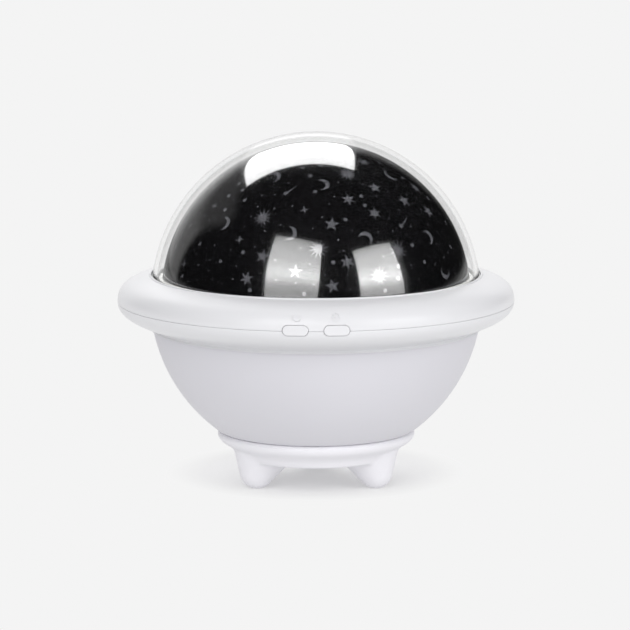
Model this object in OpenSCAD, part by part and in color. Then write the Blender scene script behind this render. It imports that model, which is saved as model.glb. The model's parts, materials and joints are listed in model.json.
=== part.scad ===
// Star night light projector in the shape of a flying saucer, in millimetres.
// +Z is up, the buttons face -Y, and the origin is on the ground under the centre.
// Heights of the saucer and of all that it carries are counted from the parting line,
// where its two halves meet. Heights of the base and feet are counted from the ground.

/* [Ground and base] */
// Free height under the base plate
foot_h = 11.1; // [10:0.1:11.5]
// Height of the base between its plate and the bowl
base_h = 10.7; // [10.4:0.1:11.4]
// How far the middle of a foot stands inside the skirt
foot_inset = 5.1; // [4.6:0.1:6]
// Radius of a foot's rounded tip
foot_tip_r = 7; // [6.4:0.1:7.4]
// Lean of a foot towards the middle, in degrees
foot_lean = 19; // [15:1:22]
// Half angle of a foot's cone, in degrees
foot_taper = 29; // [25:1:31]
// How deep a foot's tip is cut flat where it stands
foot_flat = 0.35; // [0.2:0.05:0.6]
// Number of feet
foot_count = 3; // [3:1:4]
// How far the upright skirt over the feet stands inside the flange
skirt_step = 7.1; // [6:0.1:8]
// How far the base's rolled flange reaches out past the bowl's foot
flange_over = 1.1; // [0.8:0.1:2.5]
// Wall of the base
base_wall = 2; // [1.6:0.1:2.4]

/* [Bowl] */
// How far the saucer's brim reaches out past the round bowl
brim_w = 13; // [12.7:0.1:14]
// Wall of the bowl
bowl_wall = 2.2; // [1.6:0.1:2.6]
// Height of the centre of the bowl and both domes over the parting line
ball_z = 1.3; // [0.8:0.1:1.8]
// How much of the bowl's round bottom is cut off level
bowl_cut = 12.9; // [12.3:0.1:13.3]
// Rounding round the bowl's foot
bowl_foot_r = 2.4; // [1.8:0.1:3.2]

/* [Saucer] */
// Outer radius of the saucer
saucer_r = 80; // [79.6:0.1:84]
// Wall of both saucer halves
saucer_wall = 2; // [1.6:0.1:2.2]
// Height of the lip round the cover
top_lip_z = 11.2; // [10.8:0.1:12]
// Depth of the lower lip
low_lip_z = 11; // [10.6:0.1:11.6]
// Width of the flat on the upper lip
lip_flat = 0.7; // [0.4:0.1:1]
// Gap that shows between the two halves
parting_gap = 0.3; // [0.2:0.05:0.5]
// Height of the tongue that centres the upper half
tongue_h = 2.2; // [1.8:0.1:2.6]

/* [Cover dome] */
// How much smaller the clear cover's radius is than the bowl's
cover_inset = 0.5; // [0.4:0.1:0.8]
// Wall of the clear cover
cover_wall = 1.8; // [1.4:0.1:2]
// Height of the ledge that the cover sits on
cover_seat_z = 8; // [7.8:0.1:8.6]

/* [Star dome] */
// Space between the cover and the black star film
dome_gap = 2.3; // [2:0.1:2.8]
// Thickness of the star film
film_t = 0.5; // [0.3:0.05:0.6]
// Wall of the clear dome that carries the film
carrier_wall = 1.2; // [1:0.1:1.6]
// Number of star, sun, moon and dot windows
window_count = 120; // [60:4:140]
// Half width of a five-pointed star window
star_size = 2.2; // [1.6:0.1:2.4]
// Radius of a moon window
moon_size = 2.7; // [2:0.1:2.9]

/* [Turntable and drive] */
// Thickness of the turntable's disc
disc_t = 1.6; // [1.2:0.1:2]
// Height of the turntable disc's top
disc_top_z = 9.8; // [9.6:0.1:10.2]
// Gear module
gear_module = 1.2; // [1.1:0.05:1.25]
// Teeth on the turntable gear
gear_teeth = 50; // [46:1:52]
// Teeth on the motor's pinion
pinion_teeth = 12; // [12:1:14]
// Pressure angle, in degrees
pressure_angle = 25; // [24:0.5:26]
// Play between teeth along the pitch circle
backlash = 0.16; // [0.1:0.01:0.25]
// Face width of the turntable gear
gear_w = 3.2; // [2.6:0.1:3.3]
// Radius of the lamp column where the turntable runs
journal_r = 8; // [7.8:0.1:8.6]
// Running clearance of the turntable, the motor shaft and the switch plungers
run_fit = 0.06; // [0.03:0.01:0.09]
// Radius of the motor's output shaft
motor_shaft_r = 1.5; // [1.25:0.05:1.75]
// Radius of the motor's gearbox
gearbox_r = 12; // [11:0.1:13]
// Length of the gearbox
gearbox_h = 9; // [8:0.1:11]
// Radius of the motor can
motor_r = 10; // [8:0.1:10.8]
// Length of the motor can
motor_h = 15; // [12:0.5:18]

/* [Deck and lamps] */
// Thickness of the deck plate
deck_t = 2; // [1.8:0.1:2.2]
// Height of the top of the lamp column
column_top_z = 17.2; // [15:0.1:22]
// Bore of the lamp column, for the leads
column_bore_r = 3.2; // [2.6:0.1:3.6]
// Radius of the round board on top of the lamp column
star_board_r = 10; // [9:0.1:12]
// Outer radius of the ring board with the glow lamps
glow_ring_r = 20; // [19:0.1:20.8]
// Number of glow lamps
glow_led_count = 6; // [4:1:8]
// Width of every square lamp
led_w = 5; // [4:0.1:5.4]
// Height of every square lamp
led_h = 1.4; // [1:0.1:1.6]
// Thickness of every circuit board
board_t = 1.2; // [1:0.1:1.6]

/* [Buttons and inlet] */
// Length of a button's face
button_w = 10.4; // [9.6:0.1:11]
// Height of a button's face
button_h = 4.3; // [3.8:0.1:4.8]
// Distance between the two buttons' centres
button_pitch = 16; // [15.4:0.1:17]
// How far a button stands out of the saucer
button_proud = 0.3; // [0.2:0.05:0.6]
// Gap round a button
button_gap = 0.2; // [0.15:0.05:0.3]
// Travel of a button
button_travel = 0.6; // [0.4:0.05:0.8]
// Length of a switch's body
switch_w = 6; // [5.6:0.1:6.4]
// Depth of a switch's body
switch_d = 3.4; // [3:0.1:3.8]
// Height of a switch's body
switch_h = 4; // [3.8:0.1:4.4]
// Radius of a switch's plunger
plunger_r = 1.3; // [1:0.1:1.5]
// Width of the inlet's shell
inlet_w = 8.94; // [8.8:0.02:9.1]
// Height of the inlet's shell
inlet_h = 3.26; // [3.1:0.02:3.4]
// Depth of the inlet's shell
inlet_d = 7.3; // [6.5:0.1:7.6]
// Wall of the inlet's shell
inlet_wall = 0.3; // [0.25:0.01:0.35]

/* [Battery] */
// Radius of the rechargeable cell
cell_r = 7.1; // [6.6:0.1:7.6]
// Length of the cell
cell_l = 50; // [48:0.5:51]
// Wall of the battery cradle
cradle_wall = 1.8; // [1.4:0.1:2.2]

/* [Hidden] */
$fn = 96;

// Seats and clearances that more than one piece uses
slip = 0.2;             // loose fit of a moulded piece in its seat
over = 1;               // how far a cut runs past what it cuts
screw_r = 0.95;         // radius of a screw's shank
pilot_r = 1;            // radius of the hole that a screw sits in
head_r = 2;             // radius of a screw's head
head_h = 1.3;           // height of a screw's head
recess_w = 0.5;         // width of the cross recess in a screw's head
recess_d = 0.6;         // depth of the cross recess
pin_r = 0.8;            // radius of a moulded pin that holds a board
pin_h = 0.4;            // how far such a pin stands out of its board

// Radii and heights that follow from the saucer's radius and the named steps
bowl_r = saucer_r - brim_w;
bowl_depth = bowl_r - ball_z - bowl_cut;
cover_r = bowl_r - cover_inset;
star_r = cover_r - cover_wall - dome_gap;
equator_z = foot_h + base_h + bowl_depth;

// Bowl neck and rim, which hang in the saucer
neck_r = bowl_r - 2.4;
neck_z = -low_lip_z - slip;
neck_in_r = neck_r - bowl_wall;
rim_r = neck_r + 3.4;
rim_z = -0.5;
rim_t = 1.8;
ear_circle_r = neck_r + 5.9;
ear_r = 3.6;
ear_count = 4;
ear_deg = 45;
bowl_foot_z = bowl_foot_r - bowl_depth;
bowl_foot_edge_r = sqrt(pow(bowl_r - bowl_foot_r, 2) - pow(bowl_foot_z - ball_z, 2));

// Deck plate, on the bowl's rim
deck_z = rim_z + rim_t;
deck_top = deck_z + deck_t;
deck_r = cover_r + 0.3;
deck_screw_l = 9;

// Saucer shells
shell_steps = 20;
seam = parting_gap / 2;
lip_r = cover_r - slip;
ledge_r = star_r + 1.3;
ledge_bottom_z = cover_seat_z - 2.1;
collar_in_r = neck_r + slip;
collar_out_r = collar_in_r + 1.6;
low_lip_r = bowl_r - 0.7;
tongue_out_r = saucer_r - saucer_wall - slip;
tongue_in_r = tongue_out_r - 1.6;
snap_h = 0.3;
snap_z = 1.3;
top_curve = [
    [saucer_r, seam], [saucer_r, 6.5],
    [saucer_r - 4.2, 8.2], [lip_r + lip_flat, top_lip_z]
];
low_curve = [
    [saucer_r, -seam], [saucer_r, -6.43],
    [low_lip_r - 2, 1.5 - low_lip_z], [low_lip_r, -low_lip_z]
];

// Star dome, turntable and drive
carrier_r = star_r - film_t - slip;
disc_z = disc_top_z - disc_t;
disc_r = ledge_r - 0.5;
rib_h = 2;
rib_r = sqrt(pow(carrier_r - carrier_wall, 2) - pow(disc_top_z + rib_h - ball_z, 2)) - slip;
gear_pitch_r = gear_module * gear_teeth / 2;
pinion_pitch_r = gear_module * pinion_teeth / 2;
gear_in_r = gear_pitch_r - 8;
gear_z = disc_z - gear_w;
gear_screw_r = (gear_in_r + gear_pitch_r) / 2 - 0.7;
motor_x = -(gear_pitch_r + pinion_pitch_r);
motor_lug_y = gearbox_r + 2.5;
motor_lug_h = 2.5;
nose_r = 3.3;
shaft_bottom = deck_z - 6;
pinion_z = deck_top + 0.9;
pinion_top = disc_z - 0.5;
hub_r = journal_r + 3;
thrust_t = 0.7;
hub_z = deck_top + thrust_t + 0.1;
hub_top_z = disc_top_z + 0.6;
shoulder_z = hub_top_z + 0.15;
stem_r = journal_r - 1.8;
retainer_t = 0.8;
retainer_r = journal_r + 1.5;
column_tail_r = column_bore_r + 1.8;

// Lamps and boards
glow_board_top = deck_z - 3;
glow_post_r = 12;
glow_post_deg = 30;
glow_led_r = glow_ring_r - 3.8;
main_board_size = [30, 34];
main_board_x = 36;
main_board_z = deck_z - 7;
main_post = [12, 14];
main_screw_l = board_t + 3.8;
socket_inset = 3.5;

// Controller, charging chip, socket and driver under the main board: place of a corner, then size
board_chips = [
    [[-5, -4], [8, 8, 1.2]],
    [[7, 4], [4, 5, 1.5]],
    [[-9, 8.5], [6, 4, 3]],
    [[0, 9.5], [4, 3, 1]]
];
coil_place = [8.5, -6];
coil_r = 3;
coil_h = 2.6;
post_r = 2.4;
led_dome_r = 0.36 * led_w;
led_dome_h = 0.25;

// Base, counted from the ground
bowl_bottom = foot_h + base_h;
flange_r = bowl_foot_edge_r + flange_over;
skirt_r = flange_r - skirt_step;
foot_circle_r = skirt_r - foot_inset;
bowl_floor_top = bowl_bottom + bowl_wall;
base_floor_top = foot_h + base_wall;
base_screw_circle_r = 15;
base_screw_deg = 30;
base_screw_l = 7;
boss_r = 3.4;
screw_pad_h = 2.2;
screw_sink = head_h + 0.2;
screw_pad_top = base_floor_top + screw_pad_h;
cell_z = bowl_floor_top + cradle_wall + cell_r;

// Buttons, switches and inlet
button_deg = asin(button_pitch / 2 / saucer_r);
pocket_r = saucer_r - saucer_wall + snap_h - 0.1;
button_flange_w = 0.8;
button_flange_t = 1;
flange_front_r = pocket_r - slip;
switch_front_r = saucer_r - 6.4;
plunger_out = 1.4;
plunger_l = 2.4;
plunger_tip_r = switch_front_r + plunger_out;
button_board_z = -switch_h / 2 - board_t;
button_board_y = -(switch_front_r - 1);
button_board_size = [button_pitch + 2 * switch_w + 2, 3.4];
button_pin = [button_board_size[0] / 2 - 1.8, button_board_y + button_board_size[1] / 2];
inlet_y = saucer_r - 1;
inlet_board_z = -inlet_h / 2 - board_t;
inlet_board_y = inlet_y - 4;
inlet_board_size = [16, 5];
board_post_r = 1.7;
inlet_pin = [inlet_board_size[0] / 2 - 2 * pin_r, inlet_board_y - inlet_board_size[1] + 2 * pin_r];
wire_port = [6, 8, 3];
wire_port_z = -4.2;
wire_r = 0.6;

// Motifs of the star film: where each lies and which it is
golden = 180 * (3 - sqrt(5));
motifs = ["dot", "star5", "dot", "star4", "star6", "moon", "dot", "star5", "sun", "dot", "star4", "star6"];

function polar(r, a) = [r * cos(a), r * sin(a)];
function involute(a) = tan(a) * 180 / PI - a;
function wave(i, k) = sin(i * k);

function bezier(p, t) =
    pow(1 - t, 3) * p[0] + 3 * pow(1 - t, 2) * t * p[1] + 3 * (1 - t) * t * t * p[2] + pow(t, 3) * p[3];

function slope(p, t) =
    pow(1 - t, 2) * (p[1] - p[0]) + 2 * (1 - t) * t * (p[2] - p[1]) + t * t * (p[3] - p[2]);

function curve(p, steps) = [for (i = [0:steps]) bezier(p, i / steps)];

// The same curve, moved sideways by a depth
function inset(p, depth, steps) = [
    for (i = [0:steps])
        let (v = slope(p, i / steps))
            bezier(p, i / steps) + depth * [-v[1], v[0]] / norm(v)
];

function arc(centre, r, from, to, steps) =
    [for (i = [0:steps]) centre + polar(r, from + (to - from) * i / steps)];

function reversed(list) = [for (i = [len(list) - 1:-1:0]) list[i]];

module up(z) {
    translate([0, 0, z]) children();
}

module saucer_level() {
    up(equator_z) children();
}

// Copies on a circle, the first at an angle
module ring_of(count, r, first = 0) {
    for (i = [0:count - 1])
        rotate(first + i * 360 / count) translate([r, 0, 0]) children();
}

module tube(r_out, r_in, h) {
    difference() {
        cylinder(r = r_out, h = h);
        up(-over) cylinder(r = r_in, h = h + 2 * over);
    }
}

// A straight slot with round ends, across X, drawn flat
module stadium(w, h) {
    square([w - h, h], center = true);
    for (side = [-1, 1])
        translate([side * (w - h) / 2, 0]) circle(d = h);
}

// A pan-head screw with its head's underside at 0, pointing down
module screw(length) {
    color("silver") difference() {
        union() {
            cylinder(r = head_r, h = head_h);
            up(-length) cylinder(r = screw_r, h = length + 0.1);
        }
        up(head_h - recess_d)
            for (a = [0, 90])
                rotate(a) translate([-1.3, -recess_w / 2, 0]) cube([2.6, recess_w, 1]);
    }
}

// A hollow dome round the shared centre, cut off level at its base
module dome(r_out, wall, base_z) {
    saucer_level() difference() {
        up(ball_z) sphere(r = r_out);
        up(ball_z) sphere(r = r_out - wall);
        translate([-r_out - over, -r_out - over, base_z - 2 * r_out])
            cube([2 * r_out + 2 * over, 2 * r_out + 2 * over, 2 * r_out]);
    }
}

// ---- base ----

module base_outline() {
    roll = [
        [bowl_foot_edge_r - 0.1, bowl_bottom], [flange_r + 0.9, bowl_bottom - 0.6],
        [flange_r + 0.5, bowl_bottom - 3.4], [flange_r - 2.3, bowl_bottom - 4.9]
    ];
    taper = [
        roll[3], [flange_r - 5, bowl_bottom - 6.5],
        [skirt_r + 0.5, foot_h + 3], [skirt_r, foot_h + 0.7]
    ];
    polygon(concat(
        [[0, bowl_bottom]], curve(roll, 10), curve(taper, 6),
        [[skirt_r - 0.7, foot_h], [0, foot_h]]
    ));
}

module base_cavity_outline() {
    polygon([
        [0, base_floor_top], [skirt_r - base_wall - 1, base_floor_top],
        [skirt_r - base_wall, base_floor_top + 1],
        [flange_r - base_wall - 3, bowl_bottom - 4],
        [flange_r - base_wall - 3, bowl_bottom + over], [0, bowl_bottom + over]
    ]);
}

module foot() {
    root = polar(foot_tip_r, -foot_taper) + polar((foot_h + 4) / cos(foot_taper), 90 - foot_taper);
    up(foot_tip_r - foot_flat) rotate([0, -foot_lean, 0]) rotate_extrude()
        polygon(concat(arc([0, 0], foot_tip_r, -90, -foot_taper, 8), [root, [0, root[1]]]));
}

module base_foot_ring() {
    color("whitesmoke") difference() {
        union() {
            difference() {
                union() {
                    rotate_extrude() base_outline();
                    intersection() {
                        ring_of(foot_count, foot_circle_r, 90) foot();
                        cylinder(r = saucer_r, h = foot_h + 4.5);
                    }
                }
                rotate_extrude() base_cavity_outline();
            }
            ring_of(3, base_screw_circle_r, base_screw_deg)
                up(foot_h + 0.5) cylinder(r = boss_r, h = screw_pad_top - foot_h - 0.5);
        }
        ring_of(3, base_screw_circle_r, base_screw_deg) {
            up(foot_h - over) cylinder(r = pilot_r, h = screw_pad_top - foot_h + 2 * over);
            up(foot_h - over) cylinder(r = head_r + slip, h = screw_sink + over);
        }
    }
}

module base_screws() {
    ring_of(3, base_screw_circle_r, base_screw_deg)
        up(foot_h + screw_sink) mirror([0, 0, 1]) screw(base_screw_l);
}

// ---- bowl ----

module bowl_outline() {
    inner_r = bowl_r - bowl_wall;
    foot_centre = [bowl_foot_edge_r, bowl_foot_z];
    tangent_deg = atan2(bowl_foot_z - ball_z, bowl_foot_edge_r);
    shoulder_deg = asin((neck_z - ball_z) / bowl_r);
    floor_deg = asin((bowl_wall - bowl_depth - ball_z) / inner_r);
    throat_deg = asin((neck_z - bowl_wall / 2 - ball_z) / inner_r);
    polygon(concat(
        [[neck_in_r, deck_z], [rim_r, deck_z], [rim_r, rim_z], [neck_r, rim_z], [neck_r, neck_z]],
        arc([0, ball_z], bowl_r, shoulder_deg, tangent_deg, 24),
        arc(foot_centre, bowl_foot_r, tangent_deg - 6, -90, 4),
        [[0, -bowl_depth], [0, bowl_wall - bowl_depth]],
        arc([0, ball_z], inner_r, floor_deg, throat_deg, 24),
        [[neck_in_r, neck_z]]
    ));
}

// Ears that take the screws through the bowl's rim and the deck
module ears(r_inside) {
    for (i = [0:ear_count - 1])
        rotate(ear_deg + i * 360 / ear_count) {
            translate([ear_circle_r, 0]) circle(r = ear_r);
            translate([r_inside, 0.4 - ear_r]) square([ear_circle_r - r_inside, 2 * ear_r - 0.8]);
        }
}

module wire_ports() {
    for (side = [-1, 1])
        translate([-wire_port[0] / 2, side * collar_in_r - wire_port[1] / 2, wire_port_z]) cube(wire_port);
}

module bowl_diffuser() {
    color("gainsboro") difference() {
        union() {
            saucer_level() rotate_extrude() bowl_outline();
            saucer_level() up(rim_z) linear_extrude(rim_t) ears(rim_r - 1);
            ring_of(3, base_screw_circle_r, base_screw_deg)
                up(screw_pad_top) cylinder(r = boss_r, h = bowl_bottom - screw_pad_top + bowl_wall / 2);
        }
        ring_of(3, base_screw_circle_r, base_screw_deg)
            up(screw_pad_top - over) cylinder(r = pilot_r, h = base_screw_l - screw_pad_h + over);
        saucer_level() ring_of(ear_count, ear_circle_r, ear_deg)
            up(rim_z - over) cylinder(r = pilot_r, h = rim_t + 2 * over);
        saucer_level() wire_ports();
    }
}

// ---- saucer ----

module top_shell_outline() {
    inner = [for (p = inset(top_curve, saucer_wall, shell_steps)) if (p[0] > lip_r + saucer_wall + 0.6) p];
    polygon(concat(
        curve(top_curve, shell_steps),
        [
            [lip_r, top_lip_z], [lip_r, cover_seat_z], [ledge_r, cover_seat_z], [ledge_r, ledge_bottom_z],
            [lip_r - saucer_wall, ledge_bottom_z], [lip_r - saucer_wall, deck_top], [lip_r, deck_top],
            [lip_r, ledge_bottom_z], [lip_r + saucer_wall, ledge_bottom_z + saucer_wall]
        ],
        [for (p = reversed(inner)) if (p[1] > tongue_h + 1) p],
        [
            [saucer_r - saucer_wall, tongue_h + slip],
            [saucer_r - saucer_wall, snap_z + snap_h + slip],
            [saucer_r - saucer_wall + snap_h + 0.1, snap_z],
            [saucer_r - saucer_wall, snap_z - snap_h - slip],
            [saucer_r - saucer_wall, seam]
        ]
    ));
}

module low_shell_outline() {
    inner = [
        for (p = inset(low_curve, -saucer_wall, shell_steps))
            if (p[0] > low_lip_r + saucer_wall && p[0] < tongue_in_r - 0.3) p
    ];
    polygon(concat(
        curve(low_curve, shell_steps),
        [
            [collar_in_r, -low_lip_z], [collar_in_r, rim_z],
            [collar_out_r, rim_z], [collar_out_r, saucer_wall + 2 - low_lip_z]
        ],
        reversed(inner),
        [
            [tongue_in_r, inner[0][1] + 0.5], [tongue_in_r, tongue_h], [tongue_out_r, tongue_h],
            [tongue_out_r, snap_z + snap_h], [tongue_out_r + snap_h, snap_z],
            [tongue_out_r, snap_z - snap_h], [tongue_out_r, -seam]
        ]
    ));
}

// Posts that rise from the lower shell, cut off inside its wall
module low_posts() {
    intersection() {
        union() {
            ring_of(ear_count, ear_circle_r, ear_deg)
                up(-2 * low_lip_z) cylinder(r = ear_r - 0.6, h = 2 * low_lip_z + rim_z);
            for (side = [-1, 1]) {
                translate([side * button_pin[0], button_pin[1], -2 * low_lip_z])
                    cylinder(r = board_post_r, h = 2 * low_lip_z + button_board_z);
                translate([side * inlet_pin[0], inlet_pin[1], -2 * low_lip_z])
                    cylinder(r = board_post_r, h = 2 * low_lip_z + inlet_board_z);
            }
        }
        rotate_extrude() polygon(concat(
            [for (p = inset(low_curve, -saucer_wall / 2, shell_steps)) if (p[0] > low_lip_r + 1) p],
            [[0, -low_lip_z], [0, -seam]]
        ));
    }
    for (side = [-1, 1]) {
        translate([side * button_pin[0], button_pin[1], button_board_z - 0.1])
            cylinder(r = pin_r, h = board_t + pin_h + 0.1);
        translate([side * inlet_pin[0], inlet_pin[1], inlet_board_z - 0.1])
            cylinder(r = pin_r, h = board_t + pin_h + 0.1);
    }
}

// Turns what is drawn flat to face out of the saucer at a button, +Z away from the centre
module at_button(side) {
    rotate(side * button_deg) rotate([90, 0, 0]) children();
}

module button_holes() {
    for (side = [-1, 1])
        at_button(side) {
            up(pocket_r - over)
                linear_extrude(saucer_wall + 3) stadium(button_w + 2 * button_gap, button_h + 2 * button_gap);
            up(switch_front_r) linear_extrude(pocket_r - switch_front_r)
                stadium(button_w + 2 * button_flange_w + 0.6, button_h + 2 * button_flange_w + 0.6);
        }
}

module inlet_hole() {
    translate([0, inlet_y - inlet_d - over, 0]) rotate([-90, 0, 0])
        linear_extrude(inlet_d + 5) stadium(inlet_w + slip, inlet_h + slip);
}

module saucer_bottom() {
    color("white") saucer_level() difference() {
        union() {
            rotate_extrude() low_shell_outline();
            low_posts();
        }
        ring_of(ear_count, ear_circle_r, ear_deg)
            up(deck_top - deck_screw_l - 0.3) cylinder(r = pilot_r, h = deck_screw_l);
        button_holes();
        inlet_hole();
        wire_ports();
    }
}

module saucer_top() {
    color("white") saucer_level() difference() {
        rotate_extrude() top_shell_outline();
        button_holes();
        inlet_hole();
    }
}

module cover_dome() {
    color("azure", 0.3) dome(cover_r, cover_wall, cover_seat_z);
}

// ---- star dome ----

// A flat star with a number of points
module star(points, r_out, r_in) {
    polygon([
        for (i = [0:2 * points - 1])
            polar(i % 2 == 0 ? r_out : r_in, i * 180 / points)
    ]);
}

module moon() {
    difference() {
        circle(r = moon_size, $fn = 32);
        translate([0.42 * moon_size, 0.1 * moon_size]) circle(r = 0.86 * moon_size, $fn = 32);
    }
}

module motif(kind) {
    if (kind == "dot") circle(r = 0.25 * star_size, $fn = 16);
    if (kind == "star4") star(4, 0.75 * star_size, 0.2 * star_size);
    if (kind == "star5") star(5, star_size, 0.42 * star_size);
    if (kind == "star6") star(6, 0.85 * star_size, 0.4 * star_size);
    if (kind == "sun") star(8, 0.95 * star_size, 0.5 * star_size);
    if (kind == "moon") moon();
}

// Motifs spread evenly over the dome on a spiral, each a little off its place and turned
module star_windows() {
    lowest = disc_top_z - ball_z + moon_size + 1.2;
    highest = star_r * 0.985;
    for (i = [0:window_count - 1]) {
        level = lowest + (highest - lowest) * (i + 0.5 + 0.3 * wave(i, 97)) / window_count;
        rotate(i * golden + 1.2 * wave(i, 61)) rotate([0, 90 - asin(level / star_r), 0])
            up(star_r - 2 * film_t - 0.5) rotate(137 * i)
                linear_extrude(3 * film_t + 1) motif(motifs[(i * 5 + floor(i / 12)) % len(motifs)]);
    }
}

module star_film() {
    color([0.04, 0.04, 0.05]) difference() {
        dome(star_r, film_t, disc_top_z);
        saucer_level() up(ball_z) star_windows();
    }
}

module star_carrier() {
    color("lightsteelblue", 0.5) dome(carrier_r, carrier_wall, disc_top_z);
}

// ---- turntable and drive ----

// Half the angle that a tooth takes at a radius, from the involute of its base circle
function half_tooth(teeth, r) =
    let (pitch_r = gear_module * teeth / 2, base_r = pitch_r * cos(pressure_angle))
        90 / teeth - backlash / 4 / pitch_r * 180 / PI
        + involute(pressure_angle) - involute(acos(min(1, base_r / r)));

module gear_outline(teeth) {
    pitch_r = gear_module * teeth / 2;
    root_r = pitch_r - 1.25 * gear_module;
    start_r = max(root_r, pitch_r * cos(pressure_angle));
    tip_r = pitch_r + 0.95 * gear_module;
    radii = [for (i = [0:3]) start_r + (tip_r - start_r) * i / 3];
    polygon([
        for (tooth = [0:teeth - 1])
            let (mid = tooth * 360 / teeth)
                each concat(
                    [polar(root_r, mid - half_tooth(teeth, start_r))],
                    [for (r = radii) if (r > root_r) polar(r, mid - half_tooth(teeth, r))],
                    [for (r = reversed(radii)) if (r > root_r) polar(r, mid + half_tooth(teeth, r))],
                    [polar(root_r, mid + half_tooth(teeth, start_r))]
                )
    ]);
}

module turntable_disc() {
    color("gainsboro") saucer_level() difference() {
        union() {
            up(disc_z) cylinder(r = disc_r, h = disc_t);
            up(hub_z) cylinder(r = hub_r, h = hub_top_z - hub_z);
            up(disc_top_z - 0.1) tube(rib_r, rib_r - 1.4, rib_h + 0.1);
        }
        up(hub_z - over) cylinder(r = journal_r + run_fit, h = hub_top_z - hub_z + 2 * over);
        ring_of(4, gear_screw_r) up(disc_z - over) cylinder(r = pilot_r, h = disc_t + 2 * over);
    }
}

module turntable_gear() {
    color("ivory") saucer_level() difference() {
        up(gear_z) linear_extrude(gear_w) rotate(180) gear_outline(gear_teeth);
        up(gear_z - over) cylinder(r = gear_in_r, h = gear_w + 2 * over);
        ring_of(4, gear_screw_r) up(gear_z - over) cylinder(r = pilot_r, h = gear_w + 2 * over);
    }
}

module gear_screws() {
    saucer_level() ring_of(4, gear_screw_r) up(disc_top_z) screw(disc_t + gear_w - 0.4);
}

module hub_retainer() {
    color("dimgray") saucer_level() up(shoulder_z) tube(retainer_r, stem_r + 0.03, retainer_t);
}

module gear_motor() {
    color("silver") saucer_level() translate([motor_x, 0, 0]) difference() {
        union() {
            up(deck_z - gearbox_h) cylinder(r = gearbox_r, h = gearbox_h);
            up(deck_z - gearbox_h - motor_h) cylinder(r = motor_r, h = motor_h + 0.1);
            up(deck_z - 0.1) cylinder(r = nose_r, h = deck_t + 0.1);
            for (side = [-1, 1])
                translate([0, side * motor_lug_y, deck_z - motor_lug_h]) cylinder(r = 3.2, h = motor_lug_h);
            translate([-2.6, -motor_lug_y, deck_z - motor_lug_h])
                cube([5.2, 2 * motor_lug_y, motor_lug_h]);
        }
        up(shaft_bottom) cylinder(r = motor_shaft_r + run_fit, h = deck_top - shaft_bottom + over);
        for (side = [-1, 1])
            translate([0, side * motor_lug_y, deck_z - motor_lug_h - over])
                cylinder(r = pilot_r, h = motor_lug_h + 2 * over);
    }
}

module motor_screws() {
    for (side = [-1, 1])
        saucer_level() translate([motor_x, side * motor_lug_y, deck_top]) screw(deck_t + motor_lug_h - 0.2);
}

module motor_shaft() {
    color("slategray") saucer_level() translate([motor_x, 0, shaft_bottom + 0.2])
        cylinder(r = motor_shaft_r, h = pinion_top - shaft_bottom - 0.2);
}

module motor_pinion() {
    color("gold") saucer_level() translate([motor_x, 0, pinion_z]) difference() {
        linear_extrude(pinion_top - pinion_z) rotate(180 / pinion_teeth) gear_outline(pinion_teeth);
        up(-over) cylinder(r = motor_shaft_r, h = pinion_top - pinion_z + 2 * over);
    }
}

// ---- deck, lamps and boards ----

module deck_plate() {
    color("lightgray") saucer_level() difference() {
        union() {
            up(deck_z) linear_extrude(deck_t) {
                circle(r = deck_r);
                ears(deck_r - 1);
            }
            for (x = [-1, 1], y = [-1, 1])
                translate([main_board_x + x * main_post[0], y * main_post[1], main_board_z + board_t])
                    cylinder(r = post_r, h = deck_z - main_board_z - board_t + 0.1);
            ring_of(3, glow_post_r, glow_post_deg) {
                up(glow_board_top) cylinder(r = post_r, h = deck_z - glow_board_top + 0.1);
                up(glow_board_top - board_t - pin_h) cylinder(r = pin_r, h = board_t + pin_h + 0.1);
            }
        }
        up(deck_z - over) cylinder(r = column_tail_r + 0.1, h = deck_t + 2 * over);
        translate([motor_x, 0, deck_z - over]) cylinder(r = nose_r + slip, h = deck_t + 2 * over);
        for (side = [-1, 1])
            translate([motor_x, side * motor_lug_y, deck_z - over])
                cylinder(r = pilot_r, h = deck_t + 2 * over);
        ring_of(ear_count, ear_circle_r, ear_deg)
            up(deck_z - over) cylinder(r = pilot_r, h = deck_t + 2 * over);
        for (x = [-1, 1], y = [-1, 1])
            translate([main_board_x + x * main_post[0], y * main_post[1], main_board_z])
                cylinder(r = pilot_r, h = main_screw_l + 2 * slip);
    }
}

module deck_screws() {
    saucer_level() ring_of(ear_count, ear_circle_r, ear_deg) up(deck_top) screw(deck_screw_l);
}

module lamp_column() {
    color("white") saucer_level() difference() {
        union() {
            up(glow_board_top - board_t - 0.6)
                cylinder(r = column_tail_r, h = deck_top - glow_board_top + board_t + 0.7);
            up(deck_top) cylinder(r = hub_r, h = thrust_t);
            up(deck_top + 0.1) cylinder(r = journal_r, h = shoulder_z - deck_top - 0.1);
            up(shoulder_z - 0.1) cylinder(r = stem_r, h = column_top_z - shoulder_z + 0.1);
        }
        up(glow_board_top - board_t - 0.6 - over)
            cylinder(r = column_bore_r, h = column_top_z - glow_board_top + board_t + 0.6 + 2 * over);
    }
}

module led(direction) {
    color("lightyellow") mirror([0, 0, direction < 0 ? 1 : 0]) {
        translate([-led_w / 2, -led_w / 2, 0]) cube([led_w, led_w, led_h]);
        up(led_h - 0.1) cylinder(r = led_dome_r, h = led_dome_h + 0.1);
    }
}

module star_lamp_board() {
    color("white") saucer_level() up(column_top_z) cylinder(r = star_board_r, h = board_t);
}

module star_leds() {
    saucer_level() up(column_top_z + board_t) ring_of(3, star_board_r - 5, 90) led(1);
}

module glow_lamp_board() {
    color("seagreen") saucer_level() up(glow_board_top - board_t) difference() {
        tube(glow_ring_r, column_tail_r + 0.1, board_t);
        ring_of(3, glow_post_r, glow_post_deg) up(-over) cylinder(r = pin_r + 0.1, h = board_t + 2 * over);
    }
}

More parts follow.
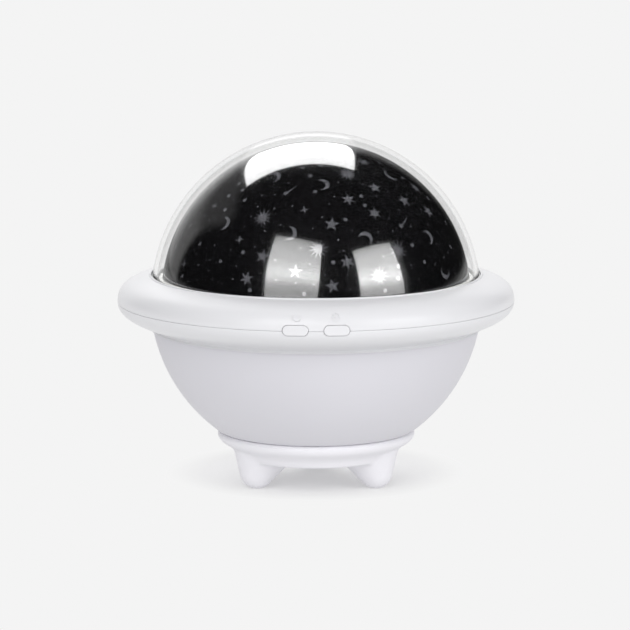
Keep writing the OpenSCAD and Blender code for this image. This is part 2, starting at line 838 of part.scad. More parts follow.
module glow_leds() {
    saucer_level() up(glow_board_top - board_t) ring_of(glow_led_count, glow_led_r, 0) led(-1);
}

module main_board() {
    color("seagreen") saucer_level() difference() {
        translate([main_board_x - main_board_size[0] / 2, -main_board_size[1] / 2, main_board_z])
            cube([main_board_size[0], main_board_size[1], board_t]);
        for (x = [-1, 1], y = [-1, 1])
            translate([main_board_x + x * main_post[0], y * main_post[1], main_board_z - over])
                cylinder(r = pilot_r, h = board_t + 2 * over);
    }
}

module main_board_parts() {
    color("dimgray") saucer_level() translate([main_board_x, 0, main_board_z]) mirror([0, 0, 1]) {
        for (chip = board_chips)
            translate(chip[0]) cube(chip[1]);
        translate(coil_place) cylinder(r = coil_r, h = coil_h);
    }
}

module main_board_screws() {
    for (x = [-1, 1], y = [-1, 1])
        saucer_level() translate([main_board_x + x * main_post[0], y * main_post[1], main_board_z])
            mirror([0, 0, 1]) screw(main_screw_l);
}

// ---- buttons and inlet ----

module button(side) {
    color("white") saucer_level() intersection() {
        at_button(side) {
            up(flange_front_r - 0.1) linear_extrude(saucer_r - flange_front_r + 3) stadium(button_w, button_h);
            up(flange_front_r - button_flange_t) linear_extrude(button_flange_t)
                stadium(button_w + 2 * button_flange_w, button_h + 2 * button_flange_w);
            up(plunger_tip_r)
                cylinder(r = plunger_r - 0.1, h = flange_front_r - button_flange_t - plunger_tip_r + 0.1);
        }
        up(-button_h) cylinder(r = saucer_r + button_proud, h = 2 * button_h);
    }
}

module light_button() {
    button(-1);
}

module spin_button() {
    button(1);
}

module switch_plunger(side) {
    color("black") saucer_level() at_button(side) up(plunger_tip_r - plunger_l)
        cylinder(r = plunger_r, h = plunger_l);
}

module light_switch_plunger() {
    switch_plunger(-1);
}

module spin_switch_plunger() {
    switch_plunger(1);
}

module switch_bodies() {
    color("gray") for (side = [-1, 1])
        saucer_level() at_button(side) difference() {
            translate([-switch_w / 2, -switch_h / 2, switch_front_r - switch_d])
                cube([switch_w, switch_h, switch_d]);
            up(plunger_tip_r - plunger_l - button_travel - slip)
                cylinder(r = plunger_r + run_fit, h = plunger_l + over);
        }
}

module button_board() {
    color("seagreen") saucer_level() difference() {
        translate([-button_board_size[0] / 2, button_board_y, button_board_z])
            cube([button_board_size[0], button_board_size[1], board_t]);
        for (side = [-1, 1])
            translate([side * button_pin[0], button_pin[1], button_board_z - over])
                cylinder(r = pin_r + 0.1, h = board_t + 2 * over);
    }
}

module inlet_shell() {
    color("silver") saucer_level() translate([0, inlet_y, 0]) rotate([90, 0, 0]) difference() {
        linear_extrude(inlet_d) stadium(inlet_w, inlet_h);
        up(-over) linear_extrude(inlet_d - 0.8 + over)
            stadium(inlet_w - 2 * inlet_wall, inlet_h - 2 * inlet_wall);
    }
}

module inlet_tongue() {
    color("black") saucer_level() translate([0, inlet_y - inlet_d + 0.8, 0]) {
        translate([-3.34, 0, -0.35]) cube([6.68, 5, 0.7]);
        rotate([-90, 0, 0]) linear_extrude(1)
            stadium(inlet_w - 2 * inlet_wall - 0.1, inlet_h - 2 * inlet_wall - 0.1);
    }
}

module inlet_board() {
    color("seagreen") saucer_level() difference() {
        translate([-inlet_board_size[0] / 2, inlet_board_y - inlet_board_size[1], inlet_board_z])
            cube([inlet_board_size[0], inlet_board_size[1], board_t]);
        for (side = [-1, 1])
            translate([side * inlet_pin[0], inlet_pin[1], inlet_board_z - over])
                cylinder(r = pin_r + 0.1, h = board_t + 2 * over);
    }
}

// ---- battery ----

module battery_cell() {
    color("steelblue") translate([-cell_l / 2, 0, cell_z]) rotate([0, 90, 0]) {
        cylinder(r = cell_r, h = cell_l);
        up(cell_l - 0.1) cylinder(r = 2.5, h = 1.1);
    }
}

module battery_cradle() {
    length = cell_l + 3;
    width = 2 * (cell_r + cradle_wall);
    color("white") difference() {
        translate([-length / 2 - cradle_wall, -width / 2, bowl_floor_top])
            cube([length + 2 * cradle_wall, width, cradle_wall + cell_r + 3]);
        translate([-length / 2, 0, cell_z]) rotate([0, 90, 0]) cylinder(r = cell_r + 0.05, h = length);
        translate([-cell_l / 2 + 8, -width, cell_z - 2]) cube([cell_l - 16, 2 * width, 2 * cell_r]);
    }
}

// ---- wiring ----

// A lead along a curve, as a tube of flat sides; across is a direction that the curve never takes
module lead(p, across, steps = 16, sides = 8) {
    rings = [
        for (i = [0:steps])
            let (
                t = i / steps,
                ahead = slope(p, t) / norm(slope(p, t)),
                u = cross(ahead, across) / norm(cross(ahead, across)),
                v = cross(ahead, u)
            )
                for (k = [0:sides - 1])
                    bezier(p, t) + wire_r * (cos(k * 360 / sides) * u + sin(k * 360 / sides) * v)
    ];
    last = steps * sides;
    polyhedron(
        points = rings,
        faces = concat(
            [[for (k = [0:sides - 1]) k]],
            [
                for (i = [0:steps - 1], k = [0:sides - 1])
                    let (a = i * sides + k, b = i * sides + (k + 1) % sides)
                        each [[a, a + sides, b + sides], [a, b + sides, b]]
            ],
            [[for (k = [sides - 1:-1:0]) last + k]]
        )
    );
}

// A lead from the middle of a small board's back edge, through its port and down onto the main board
module board_lead(y, z) {
    lead([[0, y, z], [0, 40, z], [main_board_x, 14, z + 2.6], [main_board_x, 14, main_board_z + board_t]],
        [1, -1, 0]);
}

module wiring() {
    under = main_board_z;
    socket_x = main_board_x - main_board_size[0] / 2 + socket_inset;
    motor_bottom = deck_z - gearbox_h - motor_h;
    glow_board_z = glow_board_top - board_t;
    cell_top = cell_z + cell_r - equator_z;
    color("crimson") saucer_level() {
        mirror([0, 1, 0])
            board_lead(-button_board_y - button_board_size[1], button_board_z + board_t / 2);
        board_lead(inlet_board_y - inlet_board_size[1], inlet_board_z + board_t / 2);
        // From the cell up to the main board
        lead([[20, 0, cell_top], [20, 0, -18], [46, 1, -20], [46, 1, under]], [0, 1, 0]);
        // From the motor to the main board
        lead([[motor_x, 0, motor_bottom], [motor_x, 0, cell_top + wire_r],
            [27, -9, cell_top + wire_r], [27, -9, under]], [0, 1, 0]);
        // From the star lamps down the column, and on to the main board
        lead([[0, 0, column_top_z], [0, 0, -30], [socket_x, 0, -26], [socket_x, 0, under]], [0, 1, 0], 24);
        // From the glow lamps to the main board
        lead([[9.5, -2, glow_board_z], [9.5, -2, -12], [socket_x, 5, -13], [socket_x, 5, under]], [0, 1, 0]);
    }
}

base_foot_ring();
base_screws();
bowl_diffuser();
saucer_bottom();
saucer_top();
cover_dome();
star_film();
star_carrier();
turntable_disc();
turntable_gear();
gear_screws();
hub_retainer();
lamp_column();
star_lamp_board();
star_leds();
deck_plate();
deck_screws();
gear_motor();
motor_screws();
motor_shaft();
motor_pinion();
glow_lamp_board();
glow_leds();
main_board();
main_board_parts();
main_board_screws();
light_button();
spin_button();
light_switch_plunger();
spin_switch_plunger();
button_board();
switch_bodies();
inlet_shell();
inlet_tongue();
inlet_board();
battery_cell();
battery_cradle();
wiring();
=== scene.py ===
import bpy
import bmesh
import json
import math
from mathutils import Matrix, Vector
from mathutils.bvhtree import BVHTree
from mathutils.geometry import interpolate_bezier


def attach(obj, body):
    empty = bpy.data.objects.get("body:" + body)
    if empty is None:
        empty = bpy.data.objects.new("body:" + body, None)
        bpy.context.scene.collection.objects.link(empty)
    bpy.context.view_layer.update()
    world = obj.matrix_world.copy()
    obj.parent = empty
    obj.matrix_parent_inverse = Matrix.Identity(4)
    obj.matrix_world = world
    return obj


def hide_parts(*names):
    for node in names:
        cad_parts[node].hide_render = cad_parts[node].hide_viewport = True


# Star night light projector: a saucer with a clear cover over a black star dome, a milky bowl
# that glows, and a base on three feet. Sizes in the dictionaries are millimetres, as on a drawing.

mm = 0.001
partingZ = 74.6                  # where the two saucer halves meet, above the ground
ballZ = 75.9                     # the middle of both domes and of the bowl
weld = 1e-6                      # metres: points nearer than this are one point
sliver = 1e-7                    # metres: edges shorter than this are dissolved

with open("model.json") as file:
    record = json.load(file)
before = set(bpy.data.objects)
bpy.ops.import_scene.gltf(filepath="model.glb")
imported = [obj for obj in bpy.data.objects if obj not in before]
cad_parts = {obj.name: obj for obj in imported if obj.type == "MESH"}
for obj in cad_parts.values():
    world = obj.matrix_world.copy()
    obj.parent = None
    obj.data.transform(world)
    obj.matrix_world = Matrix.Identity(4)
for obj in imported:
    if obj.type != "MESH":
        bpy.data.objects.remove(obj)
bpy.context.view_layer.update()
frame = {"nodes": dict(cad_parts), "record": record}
print("frame loaded:", len(frame["nodes"]), "nodes")


# small tools for the node trees

def toLinear(hexColour):
    parts = [int(hexColour[i:i + 2], 16) / 255 for i in (1, 3, 5)]
    return [c / 12.92 if c <= 0.04045 else ((c + 0.055) / 1.055) ** 2.4 for c in parts] + [1.0]


def darker(hexColour, shift):
    return [c * (1 - shift) for c in toLinear(hexColour)[:3]] + [1]


def addNode(tree, kind, settings=None, **links):
    # settings go to the node's properties or sockets; links are socket=output, _0 is socket 0
    node = tree.nodes.new(kind)
    for key, value in (settings or {}).items():
        if isinstance(key, str) and hasattr(node, key):
            setattr(node, key, value)
        else:
            node.inputs[key].default_value = value
    for key, source in links.items():
        socket = int(key[1:]) if key[0] == "_" else key.replace("_", " ")
        tree.links.new(source, node.inputs[socket])
    return node


def sockets(values):
    # parts the numbers, which are set, from the outputs, which are linked
    numbers = {i: v for i, v in values.items() if isinstance(v, (int, float))}
    links = {f"_{i}": v for i, v in values.items() if i not in numbers}
    return numbers, links


def calculated(tree, operation, *values):
    # one math node; each value is a number or a node's output
    numbers, links = sockets(dict(enumerate(values)))
    return addNode(tree, "ShaderNodeMath", {"operation": operation, **numbers}, **links).outputs[0]


def combined(tree, operation, *sources):
    # the same operation from each source to the next
    out = sources[0]
    for source in sources[1:]:
        out = calculated(tree, operation, out, source)
    return out


def between(tree, share, low, high):
    # low where the share is 0, high where it is 1
    numbers, links = sockets({2: low, 3: high})
    return addNode(tree, "ShaderNodeMix", {"data_type": "FLOAT", **numbers}, _0=share,
                   **links).outputs[0]


def tinted(tree, share, dark, light):
    # the same with colours
    return addNode(tree, "ShaderNodeMix", {"data_type": "RGBA", 6: dark, 7: light},
                   _0=share).outputs[2]


def smoothly(tree, source, edges, fromValue, toValue):
    # one value before the first edge, the other past the second, and a smooth change between
    settings = {"From Min": edges[0], "From Max": edges[1], "To Min": fromValue,
                "To Max": toValue, "interpolation_type": "SMOOTHSTEP"}
    return addNode(tree, "ShaderNodeMapRange", settings, Value=source).outputs["Result"]


def noise(tree, place, sizeMm, detail):
    # clouds whose lumps are about this size on the real thing
    return addNode(tree, "ShaderNodeTexNoise", {"Scale": 1 / (sizeMm * mm), "Detail": detail},
                   Vector=place).outputs["Fac"]


def varied(tree, pattern, middle, swing):
    return addNode(tree, "ShaderNodeMapRange", {"To Min": middle - swing, "To Max": middle + swing},
                   Value=pattern).outputs["Result"]


def embossed(tree, pattern, strength, depthMm):
    return addNode(tree, "ShaderNodeBump", {"Strength": strength, "Distance": depthMm * mm},
                   Height=pattern).outputs["Normal"]


def newMaterial(name):
    material = bpy.data.materials.new(name)
    material.use_nodes = True
    tree = material.node_tree
    tree.nodes.clear()
    place = addNode(tree, "ShaderNodeTexCoord").outputs["Object"]
    return material, tree, place


def closeMaterial(tree, shader):
    addNode(tree, "ShaderNodeOutputMaterial", None, Surface=shader.outputs[0])


def skinned(tree, settings, **links):
    closeMaterial(tree, addNode(tree, "ShaderNodeBsdfPrincipled", settings, **links))


# small tools for the shapes

def bezierRun(points, count):
    # points of a cubic curve in the r-z plane, from four (r, z) pairs
    start, pull, push, end = (Vector((r, z, 0)) for r, z in points)
    return [(p.x, p.y) for p in interpolate_bezier(start, pull, push, end, count)]


def arcRun(radius, centreZ, fromDeg, toDeg, count, centreR=0.0):
    step = (toDeg - fromDeg) / (count - 1)
    angles = [math.radians(fromDeg + i * step) for i in range(count)]
    return [(centreR + radius * math.cos(a), centreZ + radius * math.sin(a)) for a in angles]


def raised(points):
    # from heights over the parting line to heights over the ground
    return [(r, z + partingZ) for r, z in points]


def turned(profile, steps, corner=None, softness=0.0):
    # spins a closed r-z outline about the upright axis; one corner of it can be rounded
    bm = bmesh.new()
    verts = [bm.verts.new((r * mm, 0, z * mm)) for r, z in profile]
    bm.faces.new(verts)
    if corner is not None:
        bmesh.ops.bevel(bm, geom=[verts[corner]], offset=softness * mm, segments=3,
                        profile=0.5, material=-1, affect="VERTICES")
    bmesh.ops.delete(bm, geom=bm.faces[:], context="FACES_ONLY")
    bmesh.ops.spin(bm, geom=bm.verts[:] + bm.edges[:], cent=(0, 0, 0), axis=(0, 0, 1),
                   dvec=(0, 0, 0), angle=math.tau, steps=steps, use_merge=True,
                   use_duplicate=False)
    bmesh.ops.remove_doubles(bm, verts=bm.verts[:], dist=weld)
    bmesh.ops.dissolve_degenerate(bm, dist=sliver, edges=bm.edges[:])
    bmesh.ops.recalc_face_normals(bm, faces=bm.faces[:])
    return bm


def roundPatch(bm, radius, segments, **settings):
    # a flat disc of one face
    return bmesh.ops.create_circle(bm, cap_ends=True, segments=segments, radius=radius * mm,
                                   **settings)["verts"]


def thickened(bm, faces):
    # a second layer of the faces, joined to the first; gives back its points
    grown = bmesh.ops.extrude_face_region(bm, geom=faces, use_keep_orig=True)["geom"]
    return [g for g in grown if isinstance(g, bmesh.types.BMVert)]


def moonShape(bm, radius, bite):
    # a disc pushed in by a second, smaller disc: its radius and shift are shares of the first
    made = roundPatch(bm, radius, segments=40)
    reach, across, up = (share * radius * mm for share in bite)
    for v in made:
        if math.hypot(v.co.x - across, v.co.y - up) < reach:
            v.co.x = across - math.sqrt(reach ** 2 - (v.co.y - up) ** 2)
    return made


def meshFrom(name, bm):
    mesh = bpy.data.meshes.new(name)
    bm.to_mesh(mesh)
    bm.free()
    return mesh


def linked(name, data):
    thing = bpy.data.objects.new(name, data)
    bpy.context.scene.collection.objects.link(thing)
    return thing


def modified(bm, kind, tools=(), **settings):
    # runs one modifier on a bmesh, once for each tool, and gives the result back as a bmesh
    holders = [linked("work", meshFrom("work", source)) for source in (bm, *tools)]
    for tool in holders[1:] or [None]:
        modifier = holders[0].modifiers.new("work", kind)
        for key, value in settings.items():
            setattr(modifier, key, value)
        if tool:
            modifier.object = tool
    done = holders[0].evaluated_get(bpy.context.evaluated_depsgraph_get()).to_mesh()
    out = bmesh.new()
    out.from_mesh(done)
    for holder in holders:
        mesh = holder.data
        bpy.data.objects.remove(holder)
        bpy.data.meshes.remove(mesh)
    return out


def finishPiece(name, bm, body, material, stands=(), sharpDeg=32):
    # smooth faces, true edges where the form turns; stands: the CAD nodes that it stands for
    for face in bm.faces:
        face.smooth = True
    for edge in bm.edges:
        if len(edge.link_faces) == 2 and edge.calc_face_angle(0) > math.radians(sharpDeg):
            edge.smooth = False
    piece = linked(name, meshFrom(name, bm))
    piece.data.materials.append(material)
    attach(piece, body)
    if stands:
        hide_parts(*stands)
    return piece


# camera and studio

view = {
    "aim": (-0.4, 0.0, 68.15),       # point in the middle of the picture
    "elevation": 9.2, "distance": 1520.0, "roll": 0.1,
    "lens": 215.0, "sensor": 36.0,
    "reach": 50.0,                   # metres, past the floor's far edge
}


def aimed(at, away, twist):
    # stands at a point with its back turned away, and twisted about its line of sight
    return (Matrix.Translation(at) @ away.to_track_quat("Z", "Y").to_matrix().to_4x4()
            @ Matrix.Rotation(math.radians(twist), 4, "Z"))


elevation = math.radians(view["elevation"])
back = Vector((0, -math.cos(elevation), math.sin(elevation)))
cameraData = bpy.data.cameras.new("camera")
cameraData.lens = view["lens"]
cameraData.sensor_width = view["sensor"]
cameraData.clip_end = view["reach"]
camera = linked("camera", cameraData)
camera.matrix_world = aimed(Vector(view["aim"]) * mm + back * view["distance"] * mm, back,
                            -view["roll"])
bpy.context.scene.camera = camera
bpy.context.scene.view_settings.view_transform = "Standard"

# how bright a softbox is from its foot (0) to its top (1)
glowUp = ((0, 0.5), (0.12, 0.36), (0.22, 0.48), (0.3, 0.76), (0.37, 1), (0.43, 1),
          (0.49, 0.84), (0.62, 0.68), (0.87, 0.54), (1, 0.32))
glowEven = ((0, 0.75), (0.02, 1), (1, 1))
# each softbox: its middle and the point it faces, a twist in degrees, width and height, watts,
# and how much of it shows in gloss that isn't under the clear cover
softboxes = {
    "frontLeft": {"at": (-450, -1480, 943), "faces": (254, -106, 526), "twist": 1.6,
                  "size": (1228, 1526), "watts": 22.9, "ghost": 0.45, "glow": glowUp},
    "frontRight": {"at": (1276, -1027, 757), "faces": (103, 52, 605), "twist": -2.1,
                   "size": (1071, 1237), "watts": 18.4, "ghost": 0.45, "glow": glowUp},
    "overhead": {"at": (-262, 3900, 1576), "faces": (-262, 3900, 0), "twist": 0.0,
                 "size": (1515, 6000), "watts": 104.0, "ghost": 0.08, "glow": glowEven},
}
studioWhite = "#F4F4F4"              # the floor and the backdrop, as the camera sees them
# the room round them; a direction's up, across and away run from -1 to 1, and each pair says
# where along one of them a change starts and ends
room = {
    "walls": 0.33, "ceiling": 0.75,  # light from the pale room, low and overhead
    "fillRise": (0.2, 1),
    # what gloss shows: black cloth round the lamps, the backdrop at eye level and behind
    "flags": 0.006, "backdrop": 0.9,
    "eyeLevel": (0, 0.07), "behind": (0.67, 0.85), "lean": -0.12,
    # what the film under the cover shows of the far side: a glow low behind and a haze over it
    "farSide": (0, 0.3), "rightEnd": (0, 0.15),
    "glow": 0.6, "glowTop": (0.1, 0.5), "glowLeft": (-0.55, -0.25),
    "haze": 0.26, "thinHaze": 0.11, "hazeThins": (0.28, 0.46), "hazeTop": (0.62, 0.78),
    "hazeLeft": (-0.84, -0.76),
}
sweep = {
    "paper": "#F5F5F5", "radius": 9000.0, "steps": 96,
    "shadowAt": (0, 20, 0), "shadow": (36.0, 62.0),      # where the shadow starts to fade and ends, both the lit paper's real shadow and the painted one in the glow
    "litShare": 0.62,                # how much of the near floor is lit paper, the rest glows
    # the glow near the object is dimmer than far off: a painted soft shadow round the base
    "paintedShadowGlow": 0.75, "inFilm": 0.05,
}


def raySigns(tree):
    # seen: straight or through the clear cover; mirrored: in any gloss; deep: in the gloss of the
    # film under the cover, on a ray that has passed at least three of the cover's faces
    ray = addNode(tree, "ShaderNodeLightPath").outputs
    mirrored = calculated(tree, "GREATER_THAN", ray["Glossy Depth"], 0.5)
    under = calculated(tree, "GREATER_THAN", ray["Transmission Depth"], 2.5)
    plain = calculated(tree, "SUBTRACT", 1.0, mirrored)
    through = calculated(tree, "MULTIPLY", ray["Is Transmission Ray"], plain)
    return {"mirrored": mirrored, "deep": calculated(tree, "MULTIPLY", mirrored, under),
            "seen": calculated(tree, "MAXIMUM", ray["Is Camera Ray"], through)}


for name, box in softboxes.items():
    lamp = bpy.data.lights.new(name, "AREA")
    lamp.shape = "RECTANGLE"
    lamp.size, lamp.size_y = (side * mm for side in box["size"])
    lamp.energy = box["watts"]
    lamp.use_nodes = True
    tree = lamp.node_tree
    tree.nodes.clear()
    spot = addNode(tree, "ShaderNodeNewGeometry").outputs["Parametric"]
    rise = addNode(tree, "ShaderNodeSeparateXYZ", None, Vector=spot).outputs["Y"]
    glow = addNode(tree, "ShaderNodeValToRGB", None, Fac=rise)
    stops = glow.color_ramp.elements
    while len(stops) < len(box["glow"]):
        stops.new(0.5)
    for stop, (height, shine) in zip(stops, box["glow"]):
        stop.position = height
        stop.color = (shine, shine, shine, 1)
    signs = raySigns(tree)
    bareGloss = calculated(tree, "SUBTRACT", signs["mirrored"], signs["deep"])
    shown = smoothly(tree, bareGloss, (0, 1), 1, box["ghost"])
    light = addNode(tree, "ShaderNodeEmission", None,
                    Strength=calculated(tree, "MULTIPLY", glow.outputs["Color"], shown))
    addNode(tree, "ShaderNodeOutputLight", None, Surface=light.outputs[0])
    holder = linked(name, lamp)
    at = Vector(box["at"]) * mm
    holder.matrix_world = aimed(at, at - Vector(box["faces"]) * mm, box["twist"])
    holder.visible_camera = False


world = bpy.data.worlds.new("studio")
bpy.context.scene.world = world
world.use_nodes = True
tree = world.node_tree
tree.nodes.clear()
signs = raySigns(tree)
direction = addNode(tree, "ShaderNodeTexCoord").outputs["Generated"]
across, away, up = addNode(tree, "ShaderNodeSeparateXYZ", None, Vector=direction).outputs
leaning = calculated(tree, "MULTIPLY_ADD", across, room["lean"], away)
shiny = combined(tree, "MAXIMUM",
                 smoothly(tree, up, room["eyeLevel"], room["backdrop"], room["flags"]),
                 smoothly(tree, leaning, room["behind"], room["flags"], room["backdrop"]))
farSide = smoothly(tree, away, room["farSide"], 0, 1)
lowGlow = combined(tree, "MULTIPLY", farSide,
                   smoothly(tree, up, room["glowTop"], room["glow"], 0),
                   smoothly(tree, across, room["glowLeft"], 0, 1),
                   smoothly(tree, across, room["rightEnd"], 1, 0))
haze = combined(tree, "MULTIPLY", farSide,
                smoothly(tree, up, room["hazeThins"], room["haze"], room["thinHaze"]),
                smoothly(tree, up, room["hazeTop"], 1, 0),
                smoothly(tree, across, room["hazeLeft"], 0, 1),
                smoothly(tree, across, room["rightEnd"], 1, 0))
dim = combined(tree, "MAXIMUM", lowGlow, haze, room["flags"])
gloss = between(tree, signs["deep"], shiny, dim)
fill = smoothly(tree, up, room["fillRise"], room["walls"], room["ceiling"])
lit = addNode(tree, "ShaderNodeBackground", {"Color": (1, 1, 1, 1)},
              Strength=between(tree, signs["mirrored"], fill, gloss))
pale = addNode(tree, "ShaderNodeBackground", {"Color": toLinear(studioWhite), "Strength": 1.0})
mixed = addNode(tree, "ShaderNodeMixShader", None, _0=signs["seen"], _1=lit.outputs[0],
                _2=pale.outputs[0])
addNode(tree, "ShaderNodeOutputWorld", None, Surface=mixed.outputs[0])

bm = bmesh.new()
roundPatch(bm, sweep["radius"], sweep["steps"])
floor = linked("floor", meshFrom("floor", bm))
# matt paper sweep: no gloss, one pale tone far off that closes with the backdrop; near the object
# its glow dims, a painted shadow over the lit paper's real one
floorPaint, tree, place = newMaterial("seamless paper")
signs = raySigns(tree)
paper = addNode(tree, "ShaderNodeBsdfPrincipled", {"Base Color": toLinear(sweep["paper"]),
                                                   "Roughness": 1.0, "Specular IOR Level": 0.0})
shadowAt = Vector(sweep["shadowAt"]) * mm
distance = addNode(tree, "ShaderNodeVectorMath", {"operation": "DISTANCE", 1: shadowAt},
                   _0=place).outputs["Value"]
edges = [edge * mm for edge in sweep["shadow"]]
# painted shadow: the glow is dimmer near the object than far off
glowWithPaintedShadow = smoothly(tree, distance, edges, sweep["paintedShadowGlow"], toLinear(studioWhite)[0])
share = smoothly(tree, distance, edges, 1 - sweep["litShare"], 1)
evenly = addNode(tree, "ShaderNodeEmission", {"Color": (1, 1, 1, 1)},
                 Strength=between(tree, signs["deep"], glowWithPaintedShadow, sweep["inFilm"]))
share = calculated(tree, "MAXIMUM", signs["deep"], share)
closeMaterial(tree, addNode(tree, "ShaderNodeMixShader", None, _0=share, _1=paper.outputs[0],
                            _2=evenly.outputs[0]))
floor.data.materials.append(floorPaint)
print("studio set")


# finishes of what shows

def mouldedPlastic(name, colour, roughness, grainMm, grainDepth, toneShift, coat=0.0, soft=0.0):
    # thermoplastic from a steel tool: the tool's fine grain in the relief, hardly any change of
    # tone; soft is how much light spreads under the skin
    material, tree, place = newMaterial(name)
    tone = tinted(tree, noise(tree, place, sizeMm=22, detail=2.0), darker(colour, toneShift),
                  toLinear(colour))
    grain = noise(tree, place, grainMm, detail=3.0)
    skinned(tree, {"IOR": 1.52, "Coat Weight": coat, "Coat Roughness": 0.12,
                   "Subsurface Weight": soft, "Subsurface Scale": 1.5 * mm,
                   "Subsurface Radius": (1.0, 0.9, 0.85)},
            Base_Color=tone, Roughness=varied(tree, grain, roughness, swing=0.03),
            Normal=embossed(tree, grain, strength=0.35, depthMm=grainDepth))
    return material


# ABS from a polished tool: even white with a soft sheen and a faint ripple
absPolished = mouldedPlastic("polished ABS", "#DDDDE0", roughness=0.34, grainMm=2.4,
                             grainDepth=0.004, toneShift=0.012, coat=0.15)
# ABS from a lightly sparked tool: satin, a little lighter and cooler
absSatin = mouldedPlastic("satin ABS", "#E8E7EC", roughness=0.46, grainMm=0.9,
                          grainDepth=0.006, toneShift=0.015)
# polypropylene, thin and milky: light goes in and comes out softened
ppMilky = mouldedPlastic("milky polypropylene", "#D4D3D9", roughness=0.5, grainMm=1.2,
                         grainDepth=0.005, toneShift=0.02, soft=0.12)


# saucer halves, joined at the parting line; heights are over it

saucer = {
    "radius": 80.0, "steps": 256, "outerRows": 28, "innerRows": 12,
    "topCurve": [(80.0, 0.05), (80.0, 6.5), (75.8, 8.2), (67.25, 10.38)],
    "bead": (0.42, 10.5),            # radius and height of the rounded rim round the cover
    "beadSweep": (20, 180, 9), "beadAt": 66.78,
    # the ledge that the cover stands on, and the collar under it
    "ledge": [(66.3, 8.0), (63.7, 8.0), (63.7, 5.9), (64.3, 5.9), (64.3, 3.3), (66.3, 3.3),
              (66.3, 5.9)],
    "topInner": [(68.6, 8.2), (74.3, 6.4), (77.9, 5.3), (78.0, 2.6)],
    "topFoot": [(78.0, 0.05)],
    "lowCurve": [(80.0, -0.05), (80.0, -6.43), (68.8, -8.75), (67.05, -9.6)],
    # a soft bead where it closes on the bowl, then the collar round the bowl's neck
    "lip": [(66.78, -9.8), (66.62, -10.0), (66.58, -10.2), (66.68, -10.5), (66.9, -10.78),
            (66.92, -10.92), (66.8, -11.02)],
    "collar": [(64.8, -11.02), (64.8, -0.5), (66.4, -0.5), (66.4, -7.0)],
    "lowInner": [(68.6, -7.6), (72.0, -6.6), (76.1, -6.0), (76.2, -3.6)],
    "tongue": [(76.2, 2.2), (77.8, 2.2), (77.8, -0.05)],     # stands inside the upper half
    "edge": 0.09,                    # rounding of the moulded edges
    "buttonPitch": 16.0, "buttonRise": 0.3, "buttonHole": (10.35, 4.35),
    "pocket": (12.6, 6.5), "pocketFrom": 73.6, "pocketTo": 78.2,
    "inletHole": (9.14, 3.46), "inletFrom": 70.7,
    "overlap": 1.0, "beyond": 3.0,   # how far the cutters run into each other and out of the wall
}


def pill(bm, width, height, low, high, place):
    # a bar with round ends, from low to high along its own Z
    ends = 48
    made = roundPatch(bm, height / 2, ends, matrix=Matrix.Rotation(math.pi / ends, 4, "Z"))
    for v in made:
        v.co.x += math.copysign((width - height) / 2 * mm, v.co.x)
        v.co.z = low * mm
    top = thickened(bm, [made[0].link_faces[0]])
    bmesh.ops.translate(bm, verts=top, vec=(0, 0, (high - low) * mm))
    bmesh.ops.transform(bm, matrix=place, verts=made + top)
    return top


def atButton(side):
    # +Z points out of the saucer at a button, as in the CAD
    turn = side * math.asin(saucer["buttonPitch"] / 2 / saucer["radius"])
    return (Matrix.Translation((0, 0, (partingZ + saucer["buttonRise"]) * mm))
            @ Matrix.Rotation(turn, 4, "Z") @ Matrix.Rotation(math.radians(90), 4, "X"))


def opened(shell):
    # cuts the button holes, the wider pockets behind them and the inlet's slot
    holes, pockets = bmesh.new(), bmesh.new()
    out = saucer["radius"] + saucer["beyond"]
    for side in (-1, 1):
        place = atButton(side)
        pill(holes, *saucer["buttonHole"], saucer["pocketTo"] - saucer["overlap"], out, place)
        pill(pockets, *saucer["pocket"], saucer["pocketFrom"], saucer["pocketTo"], place)
    place = Matrix.Translation((0, 0, partingZ * mm)) @ Matrix.Rotation(math.radians(-90), 4, "X")
    pill(pockets, *saucer["inletHole"], saucer["inletFrom"], out, place)
    for bm in (holes, pockets):
        bmesh.ops.recalc_face_normals(bm, faces=bm.faces[:])
    return modified(shell, "BOOLEAN", (holes, pockets), operation="DIFFERENCE", solver="EXACT")


topOutline = bezierRun(saucer["topCurve"], saucer["outerRows"])
topOutline += arcRun(*saucer["bead"], *saucer["beadSweep"], saucer["beadAt"])
topOutline += saucer["ledge"] + bezierRun(saucer["topInner"], saucer["innerRows"])
topOutline += saucer["topFoot"]
topShell = opened(turned(raised(topOutline), saucer["steps"], 0, saucer["edge"]))
saucerTree = BVHTree.FromBMesh(topShell)
finishPiece("upper_saucer", topShell, "housing", absPolished, ["saucer_top"])

lowOutline = bezierRun(saucer["lowCurve"], saucer["outerRows"]) + saucer["lip"]
lowOutline += saucer["collar"] + bezierRun(saucer["lowInner"], saucer["innerRows"])
lowOutline += saucer["tongue"]
lowShell = opened(turned(raised(lowOutline), saucer["steps"], 0, saucer["edge"]))
finishPiece("lower_saucer", lowShell, "housing", absPolished, ["saucer_bottom"])
print("saucer made")


# push buttons

button = {
    "size": (10.1, 4.1), "flange": (12.0, 5.9), "back": 77.0, "front": 78.0,
    "sunk": 0.2,                     # how far the cap runs into its flange
    "proud": 0.3, "rounding": 0.45, "level": 0.99,
    "rings": 2, "ringWidth": 0.6,    # rows of faces that let the front bend
    "stem": 0.5,                     # this much over the flange stays straight
}


